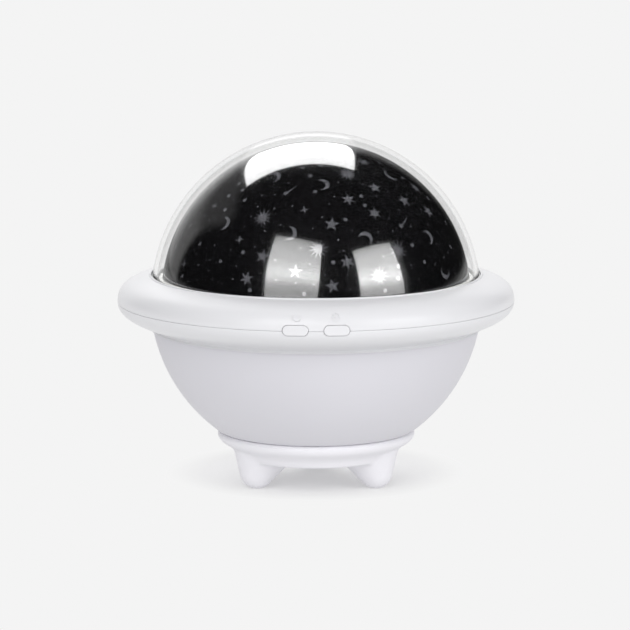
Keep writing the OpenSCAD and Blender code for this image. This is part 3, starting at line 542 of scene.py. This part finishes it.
def makeButton(side):
    bm = bmesh.new()
    upright = Matrix.Identity(4)
    top = pill(bm, *button["size"], button["front"] - button["sunk"], saucer["radius"], upright)
    face = next(f for f in top[0].link_faces if all(v in top for v in f.verts))
    bmesh.ops.bevel(bm, geom=list(face.edges), offset=button["rounding"] * mm, segments=5,
                    profile=0.5, material=-1, affect="EDGES")
    face = max((f for f in bm.faces if f.normal.z > button["level"]),
               key=lambda f: f.calc_center_median().z)
    for _ in range(button["rings"]):
        bmesh.ops.inset_region(bm, faces=[face], thickness=button["ringWidth"] * mm)
    reach = (saucer["radius"] + button["proud"]) * mm
    for v in bm.verts:                       # the front follows the saucer's roundness
        if v.co.z > (button["front"] + button["stem"]) * mm:
            v.co.z += math.sqrt(reach ** 2 - v.co.x ** 2) - saucer["radius"] * mm
    pill(bm, *button["flange"], button["back"], button["front"], upright)
    bmesh.ops.transform(bm, matrix=atButton(side), verts=bm.verts[:])
    bmesh.ops.recalc_face_normals(bm, faces=bm.faces[:])
    return bm


for side, key in ((-1, "light"), (1, "spin")):
    finishPiece(key + "_button_cap", makeButton(side), key + "_key", absPolished,
                [key + "_button"])
print("buttons made")


# small figures in relief over the buttons: a moon for the light, a ring of dots for the turning

figure = {
    "level": 5.2, "left": -7.3, "right": 7.6, "moonHeight": 0.5, "dotHeight": 0.3,
    "sunk": 0.1, "from": -200.0,     # their foot under the skin, and where they start in front
    "moon": 1.5, "bite": (0.9, 0.5, 0.1), "moonTurn": 75,
    "ring": 1.4, "dot": 0.3, "dots": 8,
}


def pressOnto(bm, across, height):
    # lays a flat shape on the saucer's front and gives it a thickness
    raisedVerts = set(thickened(bm, bm.faces[:]))
    for v in bm.verts:
        start = Vector((v.co.x + across * mm, figure["from"] * mm,
                        v.co.y + (partingZ + figure["level"]) * mm))
        spot, normal = saucerTree.ray_cast(start, Vector((0, 1, 0)))[:2]
        v.co = spot + normal * (height if v in raisedVerts else -figure["sunk"]) * mm
    bmesh.ops.recalc_face_normals(bm, faces=bm.faces[:])
    return bm


moonBm = bmesh.new()
lying = moonShape(moonBm, figure["moon"], figure["bite"])
bmesh.ops.transform(moonBm, matrix=Matrix.Rotation(math.radians(figure["moonTurn"]), 4, "Z"),
                    verts=lying)
finishPiece("moon_relief", pressOnto(moonBm, figure["left"], figure["moonHeight"]), "housing",
            absPolished)
dotsBm = bmesh.new()
roundPatch(dotsBm, figure["dot"], segments=20)
for i in range(figure["dots"]):
    spot = (Matrix.Rotation(math.tau * i / figure["dots"], 4, "Z")
            @ Matrix.Translation((figure["ring"] * mm, 0, 0)))
    roundPatch(dotsBm, figure["dot"], segments=12, matrix=spot)
finishPiece("dots_relief", pressOnto(dotsBm, figure["right"], figure["dotHeight"]), "housing",
            absPolished)
print("reliefs made")


# milky bowl, a ball with a flat foot under a neck; heights are over the parting line

bowl = {
    "radius": 67.0, "wall": 2.2, "depth": 52.8, "shoulderZ": -11.04, "throatZ": -12.3,
    "neckRadius": 64.6, "rimRadius": 68.0, "rimTop": 1.3, "rimUnder": -0.5,
    "footRounding": 2.4, "footLead": 6,      # degrees by which the rounding starts early
    "steps": 192, "ballRows": 33, "footRows": 6, "innerRows": 25, "edge": 0.3,
}


def makeBowl():
    r, wall, foot, depth = (bowl[key] for key in ("radius", "wall", "footRounding", "depth"))
    middle = ballZ - partingZ
    inner = r - wall
    footZ = foot - depth
    footEdge = math.sqrt((r - foot) ** 2 - (footZ - middle) ** 2)
    tangent = math.degrees(math.atan2(footZ - middle, footEdge))
    shoulder = math.degrees(math.asin((bowl["shoulderZ"] - middle) / r))
    floorDeg = math.degrees(math.asin((wall - depth - middle) / inner))
    throat = math.degrees(math.asin((bowl["throatZ"] - middle) / inner))
    neckIn = bowl["neckRadius"] - wall
    neck = [(neckIn, bowl["rimTop"]), (bowl["rimRadius"], bowl["rimTop"]),
            (bowl["rimRadius"], bowl["rimUnder"]), (bowl["neckRadius"], bowl["rimUnder"]),
            (bowl["neckRadius"], bowl["shoulderZ"])]
    outline = neck + arcRun(r, middle, shoulder, tangent, bowl["ballRows"])
    outline += arcRun(foot, footZ, tangent - bowl["footLead"], -90, bowl["footRows"], footEdge)
    outline += [(0, -depth), (0, wall - depth)]
    outline += arcRun(inner, middle, floorDeg, throat, bowl["innerRows"])
    outline += [(neckIn, bowl["shoulderZ"])]
    return turned(raised(outline), bowl["steps"], len(neck), bowl["edge"])


finishPiece("milky_bowl", makeBowl(), "housing", ppMilky, ["bowl_diffuser"],
            sharpDeg=40)
print("bowl made")


# base with its feet flowing out of the skirt

base = {
    "voxel": 0.55, "ease": 0.5,
    "blendLow": 2.2, "blendHigh": 15.5, "blendInside": 23.0, "rounds": 14,
}


def eased(bm, verts):
    bmesh.ops.smooth_vert(bm, verts=verts, factor=base["ease"], use_axis_x=True, use_axis_y=True,
                          use_axis_z=True)


def makeBase():
    bm = bmesh.new()
    bm.from_mesh(frame["nodes"]["base_foot_ring"].data)
    bmesh.ops.remove_doubles(bm, verts=bm.verts[:], dist=weld)
    bm = modified(bm, "REMESH", mode="VOXEL", voxel_size=base["voxel"] * mm)
    eased(bm, bm.verts[:])
    joint = [v for v in bm.verts if base["blendLow"] * mm < v.co.z < base["blendHigh"] * mm
             and v.co.xy.length > base["blendInside"] * mm]
    for _ in range(base["rounds"]):
        eased(bm, joint)
    for v in bm.verts:
        v.co.z = max(v.co.z, 0)
    return bm


finishPiece("base_with_feet", makeBase(), "housing", absSatin, ["base_foot_ring"],
            sharpDeg=60)
print("base made")


# clear cover, a dome on a straight foot

cover = {
    "radius": 66.5, "wall": 1.8, "seatZ": 82.6, "steps": 192, "rows": 49,
    "rimRadius": 66.2, "rimZ": 84.8, "shoulder": 0.25,
    "mattTo": 0.2,                   # how far over the foot the matt finish runs
}


def makeClearPlastic():
    # injection-moulded polystyrene: water clear, sharp highlights, faint flow ripple
    material, tree, place = newMaterial("clear polystyrene")
    ripple = noise(tree, place, sizeMm=35, detail=1.0)
    skinned(tree, {"Base Color": toLinear("#FEFEFE"), "Roughness": 0.0, "IOR": 1.2,
                   "Transmission Weight": 1.0},
            Normal=embossed(tree, ripple, strength=0.08, depthMm=0.02))
    return material


clearPlastic = makeClearPlastic()
# the same polystyrene, blasted matt: the foot in the saucer's groove reads as a soft white ring
mattRim = mouldedPlastic("blasted polystyrene", "#E2E3E3", roughness=0.6, grainMm=0.5,
                         grainDepth=0.01, toneShift=0.02, soft=0.3)
coverIn = cover["radius"] - cover["wall"]
outerDeg = math.degrees(math.asin((cover["rimZ"] + cover["shoulder"] - ballZ) / cover["radius"]))
innerDeg = math.degrees(math.asin((cover["seatZ"] - ballZ) / coverIn))
outline = [(cover["rimRadius"], cover["seatZ"]), (cover["rimRadius"], cover["rimZ"])]
outline += arcRun(cover["radius"], ballZ, outerDeg, 90, cover["rows"])
outline += arcRun(coverIn, ballZ, 90, innerDeg, cover["rows"])
clearCover = finishPiece("clear_cover", turned(outline, cover["steps"]), "cover", clearPlastic,
                         ["cover_dome"])
clearCover.data.materials.append(mattRim)
for face in clearCover.data.polygons:
    face.material_index = int(face.center.z < (cover["rimZ"] + cover["mattTo"]) * mm)
clearCover.visible_shadow = False        # clear, so the lamps reach the star film through it
print("cover made")


# star film with its windows

film = {
    "radius": 62.4, "thickness": 0.5, "baseZ": 84.4, "steps": 192, "outerRows": 65,
    "innerRows": 33,
    "windows": 120,                  # as many as the CAD film has, in the same places
    "bareEdge": 3.9, "topShare": 0.985,      # they start over the edge and end near the top
    "levelWave": (0.3, 97), "turnWave": (1.2, 61), "twistWave": (12, 37),    # size and step
    "proud": 0.05,                   # how far the window sheets stand over the black, to show
    # points, outer and inner radius
    "star4": (4, 2.1, 0.55), "star5": (5, 3.0, 1.2), "star6": (6, 3.0, 1.15),
    "sun": (12, 4.2, 1.5), "cometHead": (5, 1.3, 0.7),
    "tail": 6.0, "tailFrom": 0.7, "tailHalf": 0.3, "tailBend": 0.9, "tailSteps": 8,
    "moon": 2.9, "moonBite": (0.86, 0.42, 0.1),
    "dot": 0.85, "speck": 0.36, "dotSteps": 12,
    # which turns of the spiral hold a moon or a comet, with its twist in degrees, or a sun
    "moons": {54: -90, 49: -110, 96: -60, 91: -90, 44: -45, 94: 90, 39: -90, 5: 150, 27: -90,
              48: 60, 66: -120},
    "comets": {83: 135, 52: 120, 43: 130, 74: 200},
    "suns": (93, 62, 36, 31, 10, 99, 4, 115, 29, 58, 85, 17), "sunTwist": 137,
    # the others in turn, with a step and a shift after each ten
    "sorts": ("dot", "star6", "dot", "star4", "star6", "dot", "star5", "star4", "dot", "star6"),
    "sortStep": 3, "sortShift": 10, "star5Twist": 90,
    # a second spiral of specks, with a dot after each few, where nothing is near
    "speckTries": 900, "speckGap": 4.3, "speckLower": 2, "speckLonger": 1, "speckTurn": 1.7,
    "speckWave": (40, 53), "dotEvery": 5,
}


def makeFilm(name, colour, tint, shine):
    # polyester film, laminated glossy, so that windows and black share one sheen; the bare smoky
    # windows mirror more than the printed black, which is how they show
    material, tree, place = newMaterial(name)
    shade = tinted(tree, noise(tree, place, sizeMm=14, detail=2.0), toLinear(colour),
                   toLinear(tint))
    ripple = noise(tree, place, sizeMm=9, detail=1.0)
    skinned(tree, {"Roughness": 0.12, "IOR": 1.7, "Coat Weight": 1.0, "Coat Roughness": 0.03,
                   "Coat IOR": shine},
            Base_Color=shade, Normal=embossed(tree, ripple, strength=0.12, depthMm=0.03))
    return material


filmBlack = makeFilm("printed black polyester film", "#040405", "#070708", shine=2.2)
filmWindow = makeFilm("smoky polyester window", "#444448", "#545458", shine=3.0)

filmIn = film["radius"] - film["thickness"]
filmRise = film["baseZ"] - ballZ
baseDeg = math.degrees(math.asin(filmRise / film["radius"]))
innerDeg = math.degrees(math.asin(filmRise / filmIn))
outline = arcRun(film["radius"], ballZ, baseDeg, 90, film["outerRows"])
outline += arcRun(filmIn, ballZ, 90, innerDeg, film["innerRows"])
finishPiece("black_film", turned(outline, film["steps"]), "star_dome", filmBlack,
            ["star_film"])


def starShape(bm, points, outer, inner):
    # a fan whose every second rim point is drawn in
    made = roundPatch(bm, outer, 2 * points, cap_tris=True)
    rim = sorted((v for v in made if v.co.length > weld), key=lambda v: math.atan2(v.co.y, v.co.x))
    for v in rim[::2]:
        v.co *= inner / outer
    return made


def cometShape(bm):
    # a small head and a thin tail that bends and runs out to nothing
    head = starShape(bm, *film["cometHead"])
    tail = film["tail"]
    strip = bmesh.ops.create_grid(bm, x_segments=film["tailSteps"], y_segments=1,
                                  size=0.5 * tail * mm)["verts"]
    for v in strip:
        along = v.co.x / (tail * mm) + 0.5
        side = v.co.y / (0.5 * tail * mm)
        v.co = Vector((film["tailFrom"] + tail * along,
                       side * film["tailHalf"] * (1 - along) + film["tailBend"] * along ** 2,
                       0)) * mm
    return head + strip


def ontoDome(verts, azimuth, level, twist):
    # lays a flat shape on the dome at a height over the dome's middle
    tilt = math.radians(90) - math.asin(level / film["radius"])
    turn = (Matrix.Rotation(math.radians(azimuth), 4, "Z") @ Matrix.Rotation(tilt, 4, "Y")
            @ Matrix.Rotation(math.radians(twist), 4, "Z"))
    reach = (film["radius"] + film["proud"]) * mm
    for v in verts:
        flat = turn @ Vector((v.co.x, v.co.y, film["radius"] * mm))
        v.co = flat.normalized() * reach + ballMiddle


def onDome(azimuth, level):
    # the same spot in millimetres from the dome's middle
    flat = math.sqrt(film["radius"] ** 2 - level ** 2)
    turn = math.radians(azimuth)
    return Vector((flat * math.cos(turn), flat * math.sin(turn), level))


def wave(i, size, step):
    # an uneven scatter that is the same each time
    return size * math.sin(math.radians(i * step))


golden = 180 * (3 - math.sqrt(5))
lowest = filmRise + film["bareEdge"]
highest = film["topShare"] * film["radius"]
ballMiddle = Vector((0, 0, ballZ * mm))
windows = bmesh.new()
places = []


def cutWindow(kind, azimuth, level, twist=0):
    if kind in ("dot", "speck"):
        shape = roundPatch(windows, film[kind], film["dotSteps"])
    elif kind == "moon":
        shape = moonShape(windows, film["moon"], film["moonBite"])
    elif kind == "comet":
        shape = cometShape(windows)
    else:
        shape = starShape(windows, *film[kind])
    ontoDome(shape, azimuth, level, twist)
    places.append(onDome(azimuth, level))


for i in range(film["windows"]):         # the same spiral as the cut-outs of the CAD film
    share = (i + 0.5 + wave(i, *film["levelWave"])) / film["windows"]
    level = lowest + (highest - lowest) * share
    azimuth = i * golden + wave(i, *film["turnWave"])
    if i in film["moons"]:
        cutWindow("moon", azimuth, level, film["moons"][i])
    elif i in film["comets"]:
        cutWindow("comet", azimuth, level, film["comets"][i])
    elif i in film["suns"]:
        cutWindow("sun", azimuth, level, film["sunTwist"] * i)
    else:
        kind = film["sorts"][(i * film["sortStep"] + i // film["sortShift"]) % len(film["sorts"])]
        upright = film["star5Twist"] if kind == "star5" else 0
        cutWindow(kind, azimuth, level, upright + wave(i, *film["twistWave"]))
for i in range(film["speckTries"]):
    share = (i + 0.5) / film["speckTries"]
    level = lowest - film["speckLower"] + (highest - lowest + film["speckLonger"]) * share
    azimuth = i * golden * film["speckTurn"] + wave(i, *film["speckWave"])
    spot = onDome(azimuth, level)
    if min((spot - other).length for other in places) > film["speckGap"]:
        cutWindow("speck" if len(places) % film["dotEvery"] else "dot", azimuth, level)
bmesh.ops.recalc_face_normals(windows, faces=windows.faces[:])
for face in windows.faces:               # every sheet faces out of the dome
    if face.normal.dot(face.calc_center_median() - ballMiddle) < 0:
        face.normal_flip()
windowSheets = finishPiece("star_windows", windows, "star_dome", filmWindow,
                           sharpDeg=180)
outward = [(v.co - ballMiddle).normalized() for v in windowSheets.data.vertices]
windowSheets.data.normals_split_custom_set_from_vertices(outward)
print("film made with", len(places), "windows")


# finishes of the works inside, for when the cover is off or the part is taken apart

def metal(name, colour, roughness, markMm, stretch):
    # bare or plated metal: fine marks of how it was made, along one way
    material, tree, place = newMaterial(name)
    along = addNode(tree, "ShaderNodeMapping", {"Scale": (1, 1, stretch)}, Vector=place)
    marks = noise(tree, along.outputs[0], markMm, detail=3.0)
    shade = tinted(tree, marks, darker(colour, shift=0.14), toLinear(colour))
    skinned(tree, {"Metallic": 1.0}, Base_Color=shade,
            Roughness=varied(tree, marks, roughness, swing=0.08),
            Normal=embossed(tree, marks, strength=0.2, depthMm=0.01))
    return material


def solderResist(name, colour, copper):
    # lacquered circuit board: copper tracks show as lighter bands under the glossy resist
    material, tree, place = newMaterial(name)
    pitchMm = 9
    tracks = addNode(tree, "ShaderNodeTexBrick",
                     {"Scale": 1 / (pitchMm * mm), "Color1": toLinear(colour),
                      "Color2": toLinear(colour), "Mortar": toLinear(copper),
                      "Mortar Size": 0.05}, Vector=place)
    skinned(tree, {"Roughness": 0.3}, Base_Color=tracks.outputs["Color"],
            Normal=embossed(tree, tracks.outputs["Fac"], strength=0.3, depthMm=0.03))
    return material


def phosphor():
    # silicone over a yellow phosphor: milky gloss with grains
    material, tree, place = newMaterial("phosphor under silicone")
    grainMm = 0.4
    grains = addNode(tree, "ShaderNodeTexVoronoi", {"Scale": 1 / (grainMm * mm)}, Vector=place)
    shade = tinted(tree, grains.outputs["Distance"], toLinear("#F2DE8C"), toLinear("#E2BE4E"))
    skinned(tree, {"Roughness": 0.2, "Coat Weight": 0.6}, Base_Color=shade)
    return material


def smokyPlastic():
    # tinted polystyrene under the film: see-through but dim
    material, tree, place = newMaterial("smoky polystyrene")
    shade = tinted(tree, noise(tree, place, sizeMm=30, detail=2.0), toLinear("#B5B7BC"),
                   toLinear("#C4C6CA"))
    skinned(tree, {"Roughness": 0.06, "IOR": 1.59, "Transmission Weight": 0.8}, Base_Color=shade)
    return material


# plastics: roughness, grain size and depth in mm, change of tone
innerAbs = mouldedPlastic("unpolished ABS", "#E3E3E0", 0.55, 0.7, 0.01, 0.03)
acetal = mouldedPlastic("moulded acetal", "#EFE9D6", 0.4, 1.5, 0.006, 0.03)
nylon = mouldedPlastic("black nylon", "#1B1B1C", 0.45, 0.6, 0.01, 0.2)
sleeve = mouldedPlastic("shrink sleeve", "#2B5E94", 0.28, 3.0, 0.02, 0.1, coat=0.4)
insulation = mouldedPlastic("PVC insulation", "#A52A25", 0.42, 1.8, 0.02, 0.12)
# metals: roughness, size of the marks in mm, their stretch
brass = metal("hobbed brass", "#D9BE7C", 0.3, 0.6, 0.15)
zinc = metal("zinc-plated steel", "#C9CBCB", 0.38, 0.5, 1.0)
groundSteel = metal("ground steel", "#B4B6BA", 0.25, 0.4, 0.2)
nickel = metal("nickel-plated steel", "#C4C3BF", 0.33, 1.2, 0.3)
stainless = metal("stamped stainless steel", "#CFD0D2", 0.28, 0.8, 0.4)
finishes = {
    "base_white": absSatin, "bowl_milky": ppMilky, "saucer_white": absPolished,
    "button_white": absPolished, "cover_clear": clearPlastic, "film_black": filmBlack,
    "carrier_clear": smokyPlastic(), "inner_white": innerAbs, "gear_ivory": acetal,
    "pinion_brass": brass, "steel_zinc": zinc, "spring_steel": groundSteel, "motor_can": nickel,
    "inlet_steel": stainless, "lamp_phosphor": phosphor(),
    "board_white": solderResist("white solder resist", "#E9E9E4", "#F4F2E8"),
    "board_green": solderResist("green solder resist", "#17613A", "#2B8453"),
    "black_plastic": nylon, "cell_wrap": sleeve, "wire_red": insulation,
}
for part in frame["record"]["subparts"]:
    for materialSlot in frame["nodes"][part["node"]].material_slots:
        materialSlot.material = finishes[part["material_slot"]]
print("works inside finished")
